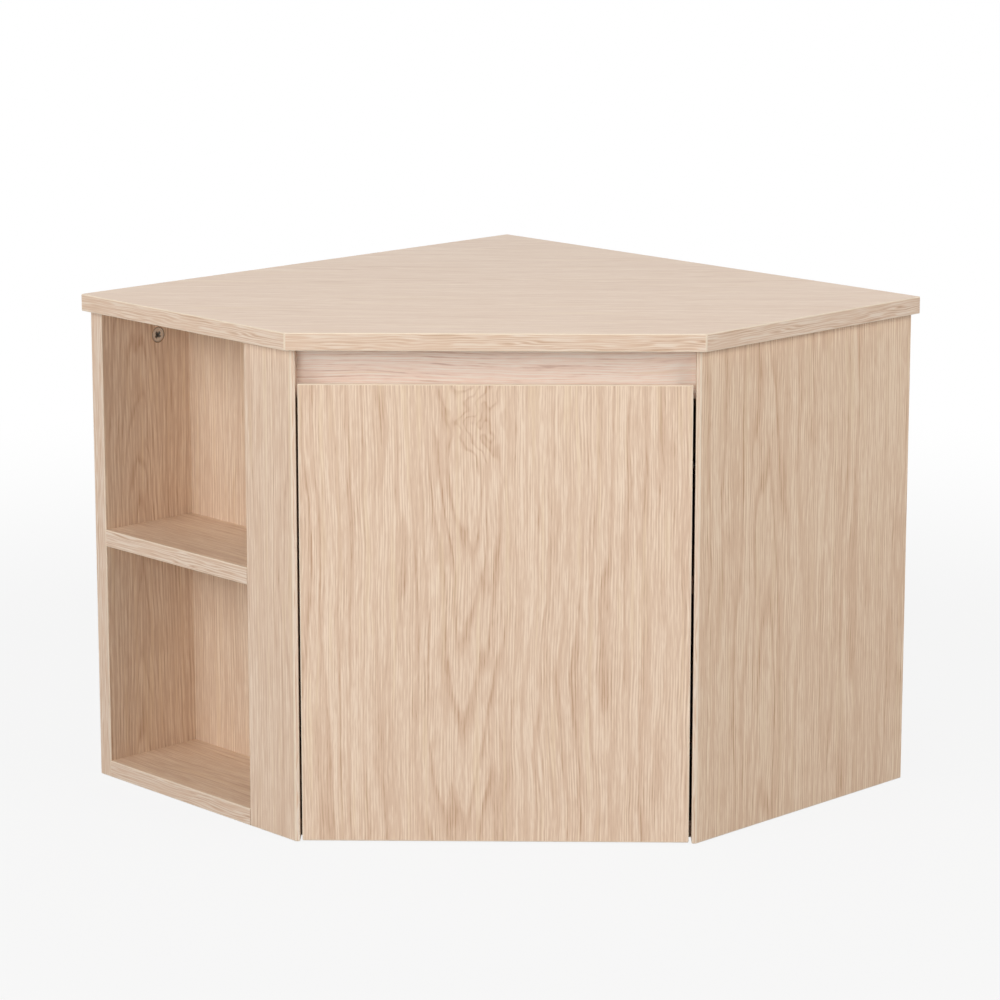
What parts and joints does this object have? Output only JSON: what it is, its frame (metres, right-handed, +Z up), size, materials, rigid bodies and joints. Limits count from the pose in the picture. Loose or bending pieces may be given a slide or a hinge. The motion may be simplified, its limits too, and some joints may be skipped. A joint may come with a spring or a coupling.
{
  "type": "corner vanity unit",
  "caption": "Five-sided corner vanity cabinet with an open shelved niche in its left side, an inset door on concealed hinges and a plain top for a basin.",
  "frame": {"origin": "centre of the outline in plan, on the underside of the carcass", "axes": "+Z up, the front faces -Y, +X to the right, and the room's corner lies on the Y axis at the back"},
  "size_m": [0.7778, 0.594, 0.466],
  "materials": {
    "oak_board": "matt oak-effect melamine",
    "beech": "plain fluted beech",
    "nickel": "nickel-plated steel",
    "zinc": "die-cast zinc",
    "clear_bumper": "clear soft plastic"
  },
  "bodies": {
    "carcass": {"top_panel": "oak_board", "bottom_panel": "oak_board", "back_left_panel": "oak_board", "back_right_panel": "oak_board", "right_side_panel": "oak_board", "front_post": "oak_board", "niche_end_panel": "oak_board", "partition_panel": "oak_board", "niche_shelf": "oak_board", "cupboard_shelf": "oak_board", "front_rail": "oak_board", "hinge_arms": "nickel", "mounting_plates": "nickel", "plate_screws": "nickel", "arm_screws": "nickel", "cam_locks": "zinc", "cam_bolts": "nickel", "dowels": "beech", "shelf_pins": "nickel"},
    "door": {"door": "oak_board", "hinge_cups": "nickel", "cup_screws": "nickel", "door_bumpers": "clear_bumper"},
    "hinge_links": {"hinge_links": "nickel"}
  },
  "joints": [
    {"name": "door_hinge", "type": "hinge", "parent": "carcass", "child": "door", "pos_m": [0.17111, -0.28698, 0.21], "axis": [0, 0, 1], "range_deg": [0, 95]},
    {"name": "link_swing", "type": "hinge", "parent": "door", "child": "hinge_links", "pos_m": [0.16411, -0.27438, 0.21], "axis": [0, 0, 1], "range_deg": [-151, 0]}
  ],
  "couplings": [
    {"joint": "link_swing", "follows": "door_hinge", "ratio": -1.58}
  ]
}
